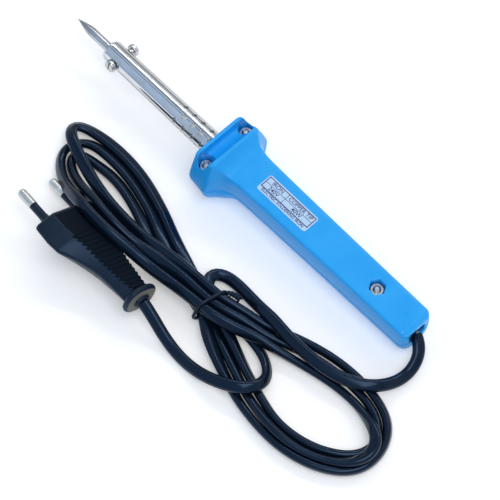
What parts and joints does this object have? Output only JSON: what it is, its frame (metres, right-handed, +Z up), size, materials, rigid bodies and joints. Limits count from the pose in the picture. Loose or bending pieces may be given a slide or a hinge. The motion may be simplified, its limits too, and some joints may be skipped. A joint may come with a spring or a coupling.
{
  "type": "soldering iron",
  "caption": "Mains pencil soldering iron: two-shell plastic handle with flared guard, vented steel barrel, removable pointed bit, and a flat flex tied in a hank with a flat two-pin plug",
  "frame": {"origin": "centre of the flat under the guard, on the table", "axes": "+X along the iron towards the bit, +Y towards the plug, +Z up from the table"},
  "size_m": [0.2319, 0.1026, 0.028],
  "materials": {
    "blue_shell": "glossy sky blue moulded plastic",
    "polished_steel": "polished steel tube with light straw heat tint",
    "plated_steel": "bright zinc plated steel",
    "plated_pins": "nickel plated brass",
    "bit_plate": "plated copper, satin",
    "mica": "pale laminated mica",
    "nichrome": "dark resistance wire",
    "ceramic": "unglazed white ceramic",
    "glass_sleeve": "braided glass fibre sleeving",
    "clear_cap": "milky moulded cap",
    "core_plastic": "smooth core insulation",
    "label_film": null,
    "cord_pvc": "glossy black flexible PVC",
    "plug_pvc": "satin black moulded PVC"
  },
  "bodies": {
    "root": {"upper_shell": "blue_shell", "lower_shell": "blue_shell", "barrel": "polished_steel", "guard_bolt_left": "plated_steel", "guard_bolt_right": "plated_steel", "rear_bolt": "plated_steel", "guard_nut_left": "plated_steel", "guard_nut_right": "plated_steel", "rear_nut": "plated_steel", "barrel_flange": "plated_steel", "nose_collar": "plated_steel", "bit_tube": "plated_steel", "cord_clamp_bar": "plated_steel", "clamp_bar_screw_a": "plated_steel", "clamp_bar_screw_b": "plated_steel", "plug_pin_a": "plated_pins", "plug_pin_b": "plated_pins", "mica_core": "mica", "mica_cover": "mica", "heating_coil": "nichrome", "heater_lead_a": "nichrome", "heater_lead_b": "nichrome", "rear_bush": "ceramic", "lead_sleeve_a": "glass_sleeve", "lead_sleeve_b": "glass_sleeve", "splice_cap_a": "clear_cap", "splice_cap_b": "clear_cap", "cord_core_a": "core_plastic", "cord_core_b": "core_plastic", "rating_label": "label_film", "cord_inner": "cord_pvc", "cord_handle_tail": "cord_pvc", "cord_over_plug": "cord_pvc", "cord_hank": "cord_pvc", "cord_plug_tail": "cord_pvc", "plug_body": "plug_pvc", "pin_sleeve_a": "plug_pvc", "pin_sleeve_b": "plug_pvc", "twist_tie": "plug_pvc"},
    "bit": {"bit": "bit_plate"},
    "clamp_screw_left": {"clamp_screw_left": "plated_steel"},
    "clamp_screw_right": {"clamp_screw_right": "plated_steel"}
  },
  "joints": [
    {"name": "bit_slide", "type": "slide", "parent": "root", "child": "bit", "axis": [0.9995, 0, 0.0314], "range_m": [0, 0.055]},
    {"name": "screw_left_out", "type": "slide", "parent": "root", "child": "clamp_screw_left", "axis": [-0.0049, 0.9877, 0.1564], "range_m": [0, 0.0015]},
    {"name": "screw_right_out", "type": "slide", "parent": "root", "child": "clamp_screw_right", "axis": [0.0049, -0.9877, -0.1564], "range_m": [0, 0.0015]}
  ]
}
